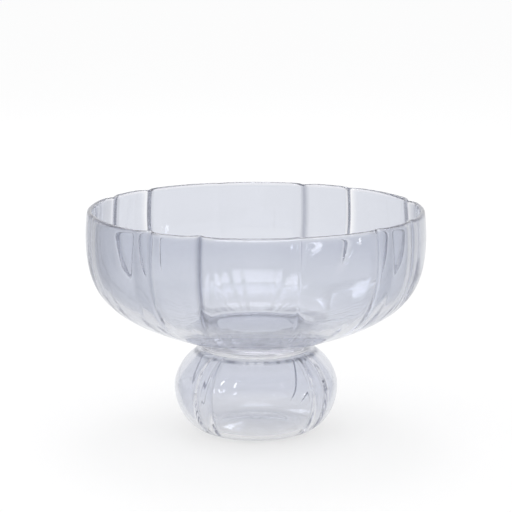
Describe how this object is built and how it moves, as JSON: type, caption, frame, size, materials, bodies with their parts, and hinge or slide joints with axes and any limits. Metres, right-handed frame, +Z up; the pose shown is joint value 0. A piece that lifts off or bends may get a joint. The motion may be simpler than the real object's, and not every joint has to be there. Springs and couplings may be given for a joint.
{
  "type": "compote bowl",
  "caption": "Clear glass footed bowl for fruit or sweets: a wide bowl with upright grooved lobes, fused by a glass disc to a squashed hollow ball foot with lobes of its own.",
  "frame": {"origin": "centre of the ring that the foot stands on, on the standing plane", "axes": "+Z up along the axis of the bowl and the foot, -Y to the front that the picture shows"},
  "size_m": [0.221, 0.221, 0.1476],
  "materials": {
    "clear_glass": "fire-polished, colourless with a faint cool tint"
  },
  "bodies": {
    "root": {"bowl": "clear_glass", "joining_disc": "clear_glass", "ball_foot": "clear_glass"}
  },
  "joints": []
}
